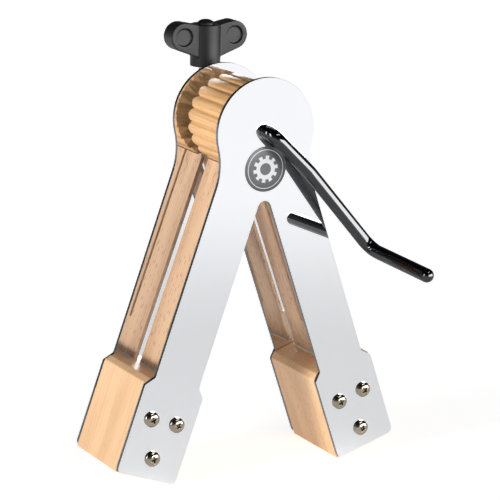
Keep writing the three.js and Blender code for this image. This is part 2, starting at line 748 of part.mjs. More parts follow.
function wingHandle() {
  const back = WING_THICK / 2;
  const wings = [-1, 1].map((side) => solid(slab(wingShape(side), -back, WING_THICK)));
  const barrel = solid(roundZ(BARREL_RADIUS, BARREL_BOTTOM, BARREL_TOP, 32));
  const headSeat = BARREL_TOP - CAP_STEM - STUD_HEAD_HEIGHT - 2 * GAP;
  const stud = solid(roundZ(STUD_HOLE_RADIUS, BARREL_BOTTOM - 1, headSeat + 1));
  const pocket = solid(roundZ(STUD_HEAD_RADIUS + GAP, headSeat, BARREL_TOP + 1));
  const dishes = [];
  for (const side of [-1, 1]) {
    for (const [from, to] of [
      [-back - 1, -back + LOBE_DISH_DEPTH],
      [back - LOBE_DISH_DEPTH, back + 1],
    ]) {
      const dish = roundY(LOBE_DISH_RADIUS, from, to, 20);
      dishes.push(solid(dish.translate(side * LOBE_REACH, 0, LOBE_HEIGHT)));
    }
  }
  return piece('wing_handle', cut(join(barrel, ...wings), stud, pocket, ...dishes), 'plastic');
}

/** Threaded stud with a round head moulded into the handle and a bored tip for the pad. */
function stud() {
  const headLow = BARREL_TOP - CAP_STEM - STUD_HEAD_HEIGHT - GAP;
  const body = turnedZ([
    [0, STUD_TIP],
    [STUD_RADIUS - 0.6, STUD_TIP],
    [STUD_RADIUS, STUD_TIP + 0.6],
    [STUD_RADIUS, headLow],
    [STUD_HEAD_RADIUS, headLow],
    [STUD_HEAD_RADIUS, headLow + STUD_HEAD_HEIGHT],
    [0, headLow + STUD_HEAD_HEIGHT],
  ]);
  const eye = roundZ(PAD_STEM_RADIUS + GAP, STUD_TIP - 1, STUD_TIP + PAD_STEM_HEIGHT + GAP, 16);
  return piece('clamp_stud', cut(solid(body), solid(eye)), 'steel');
}

function handleCap() {
  const radius = STUD_HEAD_RADIUS;
  const profile = [[0, BARREL_TOP - CAP_STEM], [radius, BARREL_TOP - CAP_STEM]];
  const steps = 6;
  for (let k = 0; k < steps; k += 1) {
    const turn = (Math.PI / 2) * (k / steps);
    profile.push([radius * Math.cos(turn), BARREL_TOP + CAP_DOME_HEIGHT * Math.sin(turn)]);
  }
  profile.push([0, BARREL_TOP + CAP_DOME_HEIGHT]);
  return piece('handle_cap', turnedZ(profile), 'plastic');
}

/** Swivel pad that presses on the rod and doesn't turn with the stud. */
function swivelPad() {
  const top = STUD_TIP - GAP;
  const body = turnedZ([
    [0, top - PAD_THICK],
    [STUD_RADIUS - 0.4, top - PAD_THICK],
    [STUD_RADIUS, top - PAD_THICK + 0.4],
    [STUD_RADIUS, top],
    [PAD_STEM_RADIUS, top],
    [PAD_STEM_RADIUS, top + PAD_STEM_HEIGHT],
    [0, top + PAD_STEM_HEIGHT],
  ]);
  return piece('swivel_pad', body, 'brass');
}

function wingScrew() {
  const group = new THREE.Group();
  group.position.set(0, ROD_Y, 0);
  group.add(wingHandle(), stud(), handleCap(), swivelPad());
  return group;
}

// ---------- the instrument ----------
/** Origin on the floor, under the middle of the whole part. */
const ratchet = new THREE.Group();
ratchet.name = 'mountable_ratchet';
ratchet.position.set(0, -MID_DEPTH, FLOOR);
ratchet.add(
  sidePlate('front_plate', 0),
  sidePlate('rear_plate', REAR_INNER, countersinkCuts()),
  leg('left', -1),
  leg('right', 1),
  woodScrews(),
  toothedWheel(),
  drivePin(),
  crank(),
  spacer('front_spacer', PLATE_THICK),
  spacer('rear_spacer', REAR_INNER - WHEEL_SIDE_GAP),
  thrustWasher(),
  retainingClip(),
  badge(),
  clampBody(),
  clampScrew('left_clamp_screw', -1),
  clampScrew('right_clamp_screw', 1),
  wingScrew(),
);

export default ratchet;
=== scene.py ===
"""Visual model of a hand-cranked wooden ratchet with polished side plates and a rod clamp.

Every length is in metres, in the part's own frame: +Z up, the crank's shaft along Y with its
grip towards -Y, and the legs' plane of symmetry at X = 0.
"""

import json
import logging
import math
from dataclasses import dataclass, field
from enum import Enum
from typing import Callable

import bmesh
import bpy
import numpy as np
from mathutils import Matrix, Vector


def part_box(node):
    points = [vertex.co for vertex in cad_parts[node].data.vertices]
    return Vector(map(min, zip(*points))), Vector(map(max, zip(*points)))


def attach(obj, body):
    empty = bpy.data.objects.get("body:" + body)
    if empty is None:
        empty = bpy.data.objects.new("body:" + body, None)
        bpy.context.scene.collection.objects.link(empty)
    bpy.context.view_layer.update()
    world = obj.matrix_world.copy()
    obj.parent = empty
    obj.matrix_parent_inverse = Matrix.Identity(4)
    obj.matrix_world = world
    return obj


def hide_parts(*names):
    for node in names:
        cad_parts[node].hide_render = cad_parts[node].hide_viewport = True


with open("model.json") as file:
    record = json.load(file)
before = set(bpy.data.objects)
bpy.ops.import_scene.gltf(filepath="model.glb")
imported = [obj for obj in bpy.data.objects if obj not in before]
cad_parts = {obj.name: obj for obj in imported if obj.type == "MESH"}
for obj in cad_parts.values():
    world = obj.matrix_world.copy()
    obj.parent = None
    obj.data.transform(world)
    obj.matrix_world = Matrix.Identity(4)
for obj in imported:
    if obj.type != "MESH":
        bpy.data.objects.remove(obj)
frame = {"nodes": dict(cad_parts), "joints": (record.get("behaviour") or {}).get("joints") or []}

log = logging.getLogger("ratchet")

Colour = tuple[float, float, float, float]
WHITE: Colour = (1.0, 1.0, 1.0, 1.0)
MM = 0.001
LEG_SPLAY = 0.335  # each leg from the vertical, radians


def joint(name: str) -> dict:
    """Returns the record's joint of that name."""
    return next(j for j in frame["joints"] if j["name"] == name)


SHAFT = Vector(joint("crank_turn")["pos_m"])  # a point on the crank's axis
SCREW_AXIS = Vector(joint("wing_turn")["pos_m"])  # a point on the wing screw's axis
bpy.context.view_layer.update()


class Side(Enum):
    """Which leg, as the sign of its X."""

    LEFT = -1
    RIGHT = 1

    @property
    def word(self) -> str:
        """The side's name as the nodes spell it."""
        return self.name.lower()


class Grain(Enum):
    """Which way the wood fibres run, as the turn that brings them to Z."""

    LEFT_LEG = (0.0, -LEG_SPLAY, 0.0)
    RIGHT_LEG = (0.0, LEG_SPLAY, 0.0)
    ALONG_SHAFT = (math.pi / 2, 0.0, 0.0)


# Node trees


class Tree:
    """Adds and wires nodes in one node tree."""

    def __init__(self, tree: bpy.types.NodeTree) -> None:
        """Keeps the tree that the nodes go into."""
        self.tree = tree

    def feed(self, socket: bpy.types.NodeSocket, value: object) -> None:
        """Links a socket to another, or sets its plain value."""
        if isinstance(value, bpy.types.NodeSocket):
            self.tree.links.new(value, socket)
        else:
            socket.default_value = value

    def node(self, kind: str, inputs: dict | None = None, **settings: object) -> bpy.types.Node:
        """Adds a node.

        Args:
            kind: the node's type name.
            inputs: value or socket for each input, by name or number.
            settings: the node's own properties.

        Returns:
            The new node.
        """
        made = self.tree.nodes.new(kind)
        for key, value in settings.items():
            setattr(made, key, value)
        for key, value in (inputs or {}).items():
            self.feed(made.inputs[key], value)
        return made

    def math(self, operation: str, a: object, b: object = 0.0, clamp: bool = False) -> object:
        """Returns the result socket of one arithmetic step on a and b."""
        made = self.node("ShaderNodeMath", {0: a, 1: b}, operation=operation, use_clamp=clamp)
        return made.outputs[0]

    def step(self, value: object, low: float, high: float, to: tuple = (0.0, 1.0)) -> object:
        """Returns value eased from to[0] at low to to[1] at high."""
        made = self.node(
            "ShaderNodeMapRange",
            {0: value, 1: low, 2: high, 3: to[0], 4: to[1]},
            interpolation_type="SMOOTHSTEP",
        )
        return made.outputs[0]

    def mix(self, factor: object, a: object, b: object) -> object:
        """Returns a colour between a and b."""
        made = self.node("ShaderNodeMix", {0: factor, 6: a, 7: b}, data_type="RGBA")
        return made.outputs[2]

    def between(self, factor: object, a: object, b: object) -> object:
        """Returns a number between a and b."""
        made = self.node("ShaderNodeMix", {0: factor, 2: a, 3: b}, data_type="FLOAT")
        return made.outputs[0]

    def noise(self, vector: object, scale: float, detail: float = 3.0) -> object:
        """Returns the value of a noise pattern with that many lumps to the metre."""
        made = self.node(
            "ShaderNodeTexNoise", {"Vector": vector, "Scale": scale, "Detail": detail}
        )
        return made.outputs[0]

    def stretched(self, vector: object, scale: tuple, turn: tuple = (0.0, 0.0, 0.0)) -> object:
        """Returns the vector turned, then scaled, each by three numbers."""
        turned = self.node("ShaderNodeMapping", {"Vector": vector, "Rotation": turn}).outputs[0]
        return self.node("ShaderNodeMapping", {"Vector": turned, "Scale": scale}).outputs[0]


def effect_group(name: str, outputs: tuple[str, ...]) -> tuple[Tree, object, object]:
    """Starts a shared effect that reads a vector.

    Args:
        name: the group's name.
        outputs: names of the values that it puts out.

    Returns:
        The group's tree, its Vector socket, and its output node.
    """
    group = bpy.data.node_groups.new(name, "ShaderNodeTree")
    group.interface.new_socket("Vector", in_out="INPUT", socket_type="NodeSocketVector")
    for output in outputs:
        group.interface.new_socket(output, in_out="OUTPUT", socket_type="NodeSocketFloat")
    tree = Tree(group)
    entry = tree.node("NodeGroupInput")
    leaving = tree.node("NodeGroupOutput")
    return tree, entry.outputs["Vector"], leaving


@dataclass(frozen=True)
class BeechPattern:
    """Numbers of the beech pattern.

    A scale is in lumps to the metre.  A draw squeezes the pattern along the fibres before it
    is read, so 0.1 draws its marks out to ten times their width.
    """

    drift_scale: float = 75.0
    drift_draw: float = 0.16
    wander_scale: float = 40.0
    wander_draw: float = 0.12
    wander_reach: float = 0.02  # metres that a growth layer strays
    pith: tuple[float, float] = (0.045, 0.07)  # its distance from the axes
    layer_rate: float = 2300.0  # radians of the layers' sine to the metre
    layer_amount: float = 0.07
    fleck_scale: float = 700.0
    fleck_draw: float = 0.24
    fleck_edge: tuple[float, float] = (0.16, 0.29)  # distance over which a fleck fades
    fleck_share: tuple[float, float] = (0.2, 0.4)  # cells below this have none
    fibre_scale: float = 2600.0
    fibre_draw: float = 0.03


def beech_grain(p: BeechPattern = BeechPattern()) -> bpy.types.NodeTree:
    """Builds the beech pattern for fibres along Z.

    Tone is broad colour drift plus growth layers, which are a sine of the distance from a pith
    line outside the wood.  Fleck is where a stretched cell pattern comes close to its centres,
    which draws short dashes along the fibres.  Fibre is noise drawn out along them.

    Returns:
        The node group, with outputs Tone, Fleck and Fibre from 0 to 1.
    """
    tree, vector, leaving = effect_group("beech grain", ("Tone", "Fleck", "Fibre"))
    drift = tree.noise(tree.stretched(vector, (1.0, 1.0, p.drift_draw)), p.drift_scale)
    stray = tree.noise(tree.stretched(vector, (1.0, 1.0, p.wander_draw)), p.wander_scale)
    wander = tree.math("MULTIPLY", stray, p.wander_reach)
    apart = tree.node("ShaderNodeSeparateXYZ", {0: vector})
    across = tree.math("ADD", apart.outputs[0], p.pith[0])
    over = tree.math("ADD", apart.outputs[1], p.pith[1])
    squares = tree.math("ADD", tree.math("POWER", across, 2.0), tree.math("POWER", over, 2.0))
    radius = tree.math("ADD", tree.math("SQRT", squares), wander)
    layers = tree.math("SINE", tree.math("MULTIPLY", radius, p.layer_rate))
    tone = tree.math("ADD", drift, tree.math("MULTIPLY", layers, p.layer_amount), clamp=True)
    cells = tree.node(
        "ShaderNodeTexVoronoi",
        {"Vector": tree.stretched(vector, (1.0, 1.0, p.fleck_draw)), "Scale": p.fleck_scale},
    )
    close = tree.step(cells.outputs["Distance"], *p.fleck_edge, (1.0, 0.0))
    lottery = tree.node("ShaderNodeSeparateXYZ", {0: cells.outputs["Color"]}).outputs[0]
    fleck = tree.math("MULTIPLY", close, tree.step(lottery, *p.fleck_share))
    fibre = tree.noise(tree.stretched(vector, (1.0, 1.0, p.fibre_draw)), p.fibre_scale, 4.0)
    for name, value in {"Tone": tone, "Fleck": fleck, "Fibre": fibre}.items():
        tree.feed(leaving.inputs[name], value)
    return tree.tree


def handling_marks() -> bpy.types.NodeTree:
    """Builds the marks of use: Smudge is soft blotches, Scratch is hairlines crossing them."""
    tree, vector, leaving = effect_group("handling marks", ("Smudge", "Scratch"))
    blotch = tree.noise(vector, 60.0, 4.0)
    tree.feed(leaving.inputs["Smudge"], tree.step(blotch, 0.42, 0.72))
    lines = []
    for turn in ((0.4, 0.2, 0.7), (0.1, 1.1, -0.5)):
        drawn = tree.stretched(vector, (1.0, 0.02, 1.0), turn)
        lines.append(tree.step(tree.noise(drawn, 900.0, 2.0), 0.66, 0.72))
    tree.feed(leaving.inputs["Scratch"], tree.math("MAXIMUM", *lines))
    return tree.tree


def moulded_skin() -> bpy.types.NodeTree:
    """Builds a moulded surface: Pebble is its fine texture, Flow its broad waviness."""
    tree, vector, leaving = effect_group("moulded skin", ("Pebble", "Flow"))
    tree.feed(leaving.inputs["Pebble"], tree.noise(vector, 3200.0, 3.0))
    tree.feed(leaving.inputs["Flow"], tree.noise(vector, 90.0, 2.0))
    return tree.tree


class Effects:
    """The shared effects, each built once."""

    def __init__(self) -> None:
        """Builds all the groups."""
        self.grain = beech_grain()
        self.marks = handling_marks()
        self.skin = moulded_skin()


EFFECTS = Effects()


# Finishes


class Paint:
    """One material under construction, with its shader and its object coordinates."""

    def __init__(self, name: str) -> None:
        """Starts an empty material of that name."""
        self.material = bpy.data.materials.new(name)
        self.material.use_nodes = True
        self.tree = Tree(self.material.node_tree)
        self.tree.tree.nodes.clear()
        self.shader = self.tree.node("ShaderNodeBsdfPrincipled")
        end = self.tree.node("ShaderNodeOutputMaterial")
        self.tree.feed(end.inputs["Surface"], self.shader.outputs[0])
        self.place = self.tree.node("ShaderNodeTexCoord").outputs["Object"]

    def set(self, **values: object) -> None:
        """Sets or links shader inputs, whose names are given with _ for a space."""
        for key, value in values.items():
            self.tree.feed(self.shader.inputs[key.replace("_", " ")], value)

    def effect(self, group: bpy.types.NodeTree, vector: object | None = None) -> object:
        """Returns the outputs of a shared effect placed in this material."""
        node = self.tree.node("ShaderNodeGroup", node_tree=group)
        self.tree.feed(node.inputs["Vector"], vector or self.place)
        return node.outputs

    def bump(self, height: object, depth: float, strength: float) -> None:
        """Raises the surface by height times depth, in metres."""
        node = self.tree.node(
            "ShaderNodeBump", {"Height": height, "Distance": depth, "Strength": strength}
        )
        self.tree.feed(self.shader.inputs["Normal"], node.outputs[0])


@dataclass(frozen=True)
class MirrorSteel:
    """Mirror-polished sheet with satin cut edges."""

    name: str = "mirror polished sheet"
    face: Colour = (0.88, 0.893, 0.915, 1.0)
    edge: Colour = (0.22, 0.225, 0.24, 1.0)
    edge_streak: Colour = (0.10, 0.105, 0.115, 1.0)
    cut_from: tuple[float, float] = (0.93, 0.995)  # how squarely a face looks along Y
    face_roughness: float = 0.012
    edge_roughness: float = 0.24

    def build(self) -> bpy.types.Material:
        """Returns the material; where the surface turns from Y it is a cut edge."""
        paint = Paint(self.name)
        tree = paint.tree
        normal = tree.node("ShaderNodeTexCoord").outputs["Normal"]
        facing = tree.math("ABSOLUTE", tree.node("ShaderNodeSeparateXYZ", {0: normal}).outputs[1])
        cut = tree.step(facing, *self.cut_from, (1.0, 0.0))
        marks = paint.effect(EFFECTS.marks)
        streaks = tree.noise(tree.stretched(paint.place, (1.0, 0.12, 1.0)), 2600.0, 3.0)
        edge = tree.mix(streaks, self.edge, self.edge_streak)
        worn = tree.math("MULTIPLY", marks["Smudge"], 0.03)
        polished = tree.math("ADD", worn, self.face_roughness)
        paint.set(Base_Color=tree.mix(cut, self.face, edge), Metallic=1.0)
        paint.set(Roughness=tree.between(cut, polished, self.edge_roughness))
        paint.bump(tree.math("MULTIPLY", marks["Scratch"], -0.02), 0.00002, 0.25)
        return paint.material


@dataclass(frozen=True)
class Beech:
    """Lacquered beech with its fibres along a given line."""

    name: str
    grain: Grain
    light: Colour = (0.74, 0.475, 0.27, 1.0)
    dark: Colour = (0.50, 0.285, 0.13, 1.0)
    fleck: Colour = (0.22, 0.11, 0.05, 1.0)
    fleck_amount: float = 0.55
    roughness: float = 0.42

    def build(self) -> bpy.types.Material:
        """Returns the material; edges that were eased by hand are a little lighter."""
        paint = Paint(self.name)
        tree = paint.tree
        turned = tree.node(
            "ShaderNodeMapping", {"Vector": paint.place, "Rotation": self.grain.value}
        ).outputs[0]
        wood = paint.effect(EFFECTS.grain, turned)
        tone = tree.step(wood["Tone"], 0.3, 0.75)
        colour = tree.mix(tone, self.light, self.dark)
        fine = tree.math("MULTIPLY", tree.step(wood["Fibre"], 0.35, 0.7), 0.28)
        colour = tree.mix(fine, colour, self.dark)
        dashes = tree.math("MULTIPLY", wood["Fleck"], self.fleck_amount)
        colour = tree.mix(dashes, colour, self.fleck)
        rim = tree.node("ShaderNodeAttribute", attribute_name="rim").outputs["Fac"]
        colour = tree.mix(tree.math("MULTIPLY", rim, 0.35), colour, self.light)
        grip = paint.effect(EFFECTS.marks)["Smudge"]
        sheen = tree.math("MULTIPLY", grip, -0.08)
        sheen = tree.math("ADD", sheen, tree.math("MULTIPLY", wood["Fibre"], 0.12))
        paint.set(Base_Color=colour, Coat_Roughness=0.25)
        paint.set(Roughness=tree.math("ADD", sheen, self.roughness))
        paint.set(Coat_Weight=tree.math("MULTIPLY", wood["Tone"], 0.2))
        relief = tree.math("SUBTRACT", wood["Fibre"], tree.math("MULTIPLY", wood["Fleck"], 0.8))
        paint.bump(relief, 0.00008, 0.5)
        return paint.material


@dataclass(frozen=True)
class Plated:
    """Plated or turned metal, dulled a little by smudges, with painted shade in its recesses."""

    name: str
    colour: Colour
    roughness: float
    # the dark colour that smudges dull towards, and the painted shade of recesses
    tarnish: Colour = (0.05, 0.045, 0.04, 1.0)
    scratch_depth: float = 0.000012

    def build(self) -> bpy.types.Material:
        """Returns the material; shade in recesses is painted from a point attribute, and a mesh
        without it has none.
        """
        paint = Paint(self.name)
        tree = paint.tree
        marks = paint.effect(EFFECTS.marks)
        # painted shade: a point attribute, largest deep in a recess, darkens and roughens the
        # surface there
        hollow = tree.node("ShaderNodeAttribute", attribute_name="hollow").outputs["Fac"]
        blotch = tree.math("MULTIPLY", marks["Smudge"], 0.12)
        dulled = tree.mix(blotch, self.colour, self.tarnish)
        paint.set(Base_Color=tree.mix(hollow, dulled, self.tarnish), Metallic=1.0)
        base = tree.math("ADD", tree.math("MULTIPLY", marks["Smudge"], 0.05), self.roughness)
        paint.set(Roughness=tree.math("ADD", base, tree.math("MULTIPLY", hollow, 0.25)))
        paint.bump(tree.math("MULTIPLY", marks["Scratch"], -1.0), self.scratch_depth, 0.5)
        return paint.material


@dataclass(frozen=True)
class Moulded:
    """Moulded plastic or thick coating with a fine pebbled skin."""

    name: str
    colour: Colour
    roughness: float
    pebble_depth: float = 0.00003
    speckle: float = 0.3
    shine: float = 0.5

    def build(self) -> bpy.types.Material:
        """Returns the material."""
        paint = Paint(self.name)
        tree = paint.tree
        skin = paint.effect(EFFECTS.skin)
        marks = paint.effect(EFFECTS.marks)
        paler = tuple(min(1.0, c * 1.9 + 0.004) for c in self.colour[:3]) + (1.0,)
        amount = tree.math("MULTIPLY", tree.step(skin["Pebble"], 0.45, 0.75), self.speckle)
        paint.set(Base_Color=tree.mix(amount, self.colour, paler))
        drift = tree.math("MULTIPLY", skin["Flow"], 0.12)
        rubbed = tree.math("MULTIPLY", marks["Smudge"], -0.07)
        rough = tree.math("ADD", tree.math("ADD", drift, rubbed), self.roughness - 0.03)
        paint.set(Roughness=rough, Specular_IOR_Level=self.shine)
        paint.bump(skin["Pebble"], self.pebble_depth, 0.6)
        return paint.material


@dataclass(frozen=True)
class PrintedLabel:
    """Dark label printed with a plain toothed ring inside a thin border."""

    name: str = "printed label"
    ground: Colour = (0.052, 0.056, 0.06, 1.0)
    ink: Colour = (0.72, 0.74, 0.76, 1.0)
    centre: tuple[float, float, float] = (0.0, 0.0, 0.0)
    teeth: int = 10
    ring: tuple[float, float] = (3.4 * MM, 6.0 * MM)  # inner and outer radius
    cogs: tuple[float, float] = (5.8 * MM, 7.8 * MM)
    border: tuple[float, float] = (10.8 * MM, 11.3 * MM)
    softness: float = 0.12 * MM  # of a printed line's edge

    def build(self) -> bpy.types.Material:
        """Returns the material; the print is a function of radius and angle about centre."""
        paint = Paint(self.name)
        tree = paint.tree
        back = tuple(-c for c in self.centre)
        local = tree.node("ShaderNodeMapping", {"Vector": paint.place, "Location": back})
        x, _, z = tree.node("ShaderNodeSeparateXYZ", {0: local.outputs[0]}).outputs
        squares = tree.math("ADD", tree.math("POWER", x, 2.0), tree.math("POWER", z, 2.0))
        radius = tree.math("SQRT", squares)
        angle = tree.math("ARCTAN2", z, x)
        soft = self.softness

        def band(inner: float, outer: float) -> object:
            """Returns 1 between two radii and 0 outside them."""
            rise = tree.step(radius, inner, inner + soft)
            return tree.math("MULTIPLY", rise, tree.step(radius, outer - soft, outer, (1.0, 0.0)))

        wave = tree.math("SINE", tree.math("MULTIPLY", angle, float(self.teeth)))
        cogs = tree.math("MULTIPLY", band(*self.cogs), tree.step(wave, -0.08, 0.08))
        ring = tree.math("MAXIMUM", band(*self.ring), cogs)
        ink = tree.math("MAXIMUM", ring, band(*self.border))
        skin = paint.effect(EFFECTS.skin)
        spread = tree.math("MULTIPLY", ink, tree.step(skin["Pebble"], 0.15, 0.4, (0.9, 1.0)))
        paint.set(Base_Color=tree.mix(spread, self.ground, self.ink))
        paint.set(Roughness=tree.step(skin["Flow"], 0.2, 0.8, (0.32, 0.42)))
        paint.bump(tree.math("ADD", ink, tree.math("MULTIPLY", skin["Pebble"], 0.2)), 0.00001, 0.6)
        return paint.material


@dataclass(frozen=True)
class ClearGlue:
    """Set clear adhesive, squeezed out of a joint."""

    name: str = "clear adhesive"

    def build(self) -> bpy.types.Material:
        """Returns the material."""
        paint = Paint(self.name)
        lumps = paint.tree.noise(paint.place, 420.0, 3.0)
        paint.set(Base_Color=(0.90, 0.84, 0.76, 1.0), Transmission_Weight=0.35, IOR=1.46)
        paint.set(Roughness=paint.tree.step(lumps, 0.3, 0.7, (0.04, 0.16)))
        paint.bump(lumps, 0.0003, 0.5)
        return paint.material


# Meshes


def link_new(name: str, data: bpy.types.ID) -> bpy.types.Object:
    """Returns a new object at the origin that holds the mesh, light or camera."""
    made = bpy.data.objects.new(name, data)
    bpy.context.scene.collection.objects.link(made)
    return made


def shade(mesh: bpy.types.Mesh, crease: float) -> None:
    """Smooths a mesh except where it turns by more than crease degrees."""
    mesh.polygons.foreach_set("use_smooth", np.ones(len(mesh.polygons), bool))
    mesh.set_sharp_from_angle(angle=math.radians(crease))


def sheet_of_quads(name: str, grid: np.ndarray, crease: float = 40.0) -> bpy.types.Object:
    """Joins a grid of points into a surface whose last column meets its first.

    Args:
        name: the new object's name.
        grid: points by row and column, shape (rows, columns, 3).
        crease: angle in degrees past which an edge stays sharp.

    Returns:
        The object, with coincident points merged and faces turned outwards.
    """
    rows, columns = grid.shape[:2]
    i, j = np.meshgrid(np.arange(rows - 1), np.arange(columns), indexing="ij")
    down, right = i + 1, (j + 1) % columns
    corners = [i * columns + j, i * columns + right, down * columns + right, down * columns + j]
    faces = np.stack(corners, axis=-1).reshape(-1, 4)
    mesh = bpy.data.meshes.new(name)
    mesh.from_pydata(grid.reshape(-1, 3).tolist(), [], faces.tolist())
    work = bmesh.new()
    work.from_mesh(mesh)
    bmesh.ops.remove_doubles(work, verts=work.verts, dist=1e-7)
    bmesh.ops.dissolve_degenerate(work, edges=work.edges, dist=1e-8)
    bmesh.ops.recalc_face_normals(work, faces=work.faces)
    work.to_mesh(mesh)
    work.free()
    shade(mesh, crease)
    return link_new(name, mesh)


def turned(profile: np.ndarray, segments: int, axis: Vector, place: Vector) -> np.ndarray:
    """Sweeps a profile round an axis.

    A point is place + axis * height + radius * (cos, sin of the turn) across the axis.

    Args:
        profile: (radius, height) rows.
        segments: steps round the axis.
        axis: the axis, one unit long.
        place: where the axis has height 0.

    Returns:
        Points of shape (len(profile), segments, 3).
    """
    across = axis.orthogonal().normalized()
    beside = axis.cross(across)
    turn = np.linspace(0, 2 * np.pi, segments, endpoint=False)
    spokes = np.outer(np.cos(turn), across) + np.outer(np.sin(turn), beside)
    radius, height = profile[:, 0, None, None], profile[:, 1, None, None]
    return np.array(place) + height * np.array(axis) + radius * spokes[None]


def eased_copy(
    node: str,
    width: float,
    segments: int = 2,
    sharper_than: float = 25.0,
    left_alone: Callable[[Vector], bool] | None = None,
) -> bpy.types.Object:
    """Copies a CAD node and rounds its edges.

    A face that meets each neighbour at a real corner is flat and keeps one normal; the others
    belong to curved walls and are smoothed, as the roundings are.  The roundings also carry the
    attribute "rim", for wear.

    Args:
        node: the CAD node.
        width: how far each rounding reaches from its edge.
        segments: steps across a rounding.
        sharper_than: edges flatter than this, in degrees, aren't rounded.
        left_alone: says whether the edge with that middle stays as it is.

    Returns:
        The new object.
    """
    mesh = frame["nodes"][node].data.copy()
    mesh.name = f"{node}_eased"
    mesh.materials.clear()
    work = bmesh.new()
    work.from_mesh(mesh)
    bmesh.ops.remove_doubles(work, verts=work.verts, dist=2e-6)
    bmesh.ops.dissolve_limit(
        work, angle_limit=math.radians(0.8), verts=work.verts, edges=work.edges
    )
    bend = math.radians(sharper_than)
    angles = {e: e.calc_face_angle(0.0) for e in work.edges if len(e.link_faces) == 2}
    for face in work.faces:
        face.smooth = any(math.radians(1.0) < angles.get(e, 0.0) <= bend for e in face.edges)
    edges = [
        e
        for e, angle in angles.items()
        if angle > bend and not (left_alone and left_alone((e.verts[0].co + e.verts[1].co) / 2))
    ]
    rim = work.faces.layers.float.new("rim")
    rounded = bmesh.ops.bevel(
        work,
        geom=edges,
        offset=width,
        segments=segments,
        profile=0.5,
        affect="EDGES",
        clamp_overlap=True,
    )["faces"]
    for face in rounded:
        face.smooth = True
        face[rim] = 1.0
    work.to_mesh(mesh)
    work.free()
    return link_new(f"{node}_skin", mesh)


def dress(
    piece: bpy.types.Object, material: bpy.types.Material, body: str, slot: str, *nodes: str
) -> None:
    """Gives a piece its material and ties it to the model.

    Args:
        piece: the new piece.
        material: its finish.
        body: the CAD body that it rides on.
        slot: the record's material slot; not used.
        nodes: CAD nodes that it replaces.
    """
    piece.data.materials.clear()
    piece.data.materials.append(material)
    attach(piece, body)
    if nodes:
        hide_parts(*nodes)
    log.info("%s: %d faces on %s", piece.name, len(piece.data.polygons), body)


def coat_node(node: str, material: bpy.types.Material) -> None:
    """Gives a carried-over CAD node its finish."""
    mesh = frame["nodes"][node].data
    mesh.materials.clear()
    mesh.materials.append(material)
    log.info("%s keeps its shape", node)


# Sub-assemblies


@dataclass
class SidePlates:
    """The two polished plates and the label on the front one."""

    edge_ease: float = 0.28 * MM
    label_radius: float = 13.0 * MM
    finish: MirrorSteel = field(default_factory=MirrorSteel)

    def build(self) -> None:
        """Builds both plates and the label."""
        material = self.finish.build()
        for node in ("front_plate", "rear_plate"):
            piece = eased_copy(node, self.edge_ease, sharper_than=30.0)
            dress(piece, material, "frame", "polished_plate", node)
        self.label()

    def label(self) -> None:
        """Builds the label: a disc whose edge is a quarter round of its own thickness."""
        low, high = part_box("badge")
        centre = (low + high) / 2
        thick = high.y - low.y
        turn = np.linspace(0, np.pi / 2, 5)
        radius = self.label_radius
        rounded = np.stack(
            [radius - thick + thick * np.sin(turn), thick * np.cos(turn)], axis=1
        )
        profile = np.vstack([[0, thick], [radius * 0.5, thick], rounded, [radius * 0.5, 0], [0, 0]])
        place = Vector((centre.x, high.y, centre.z))
        grid = turned(profile, 128, Vector((0, -1, 0)), place)
        piece = sheet_of_quads("label_disc", grid, crease=60.0)
        dress(piece, PrintedLabel(centre=tuple(centre)).build(), "frame", "badge_print", "badge")


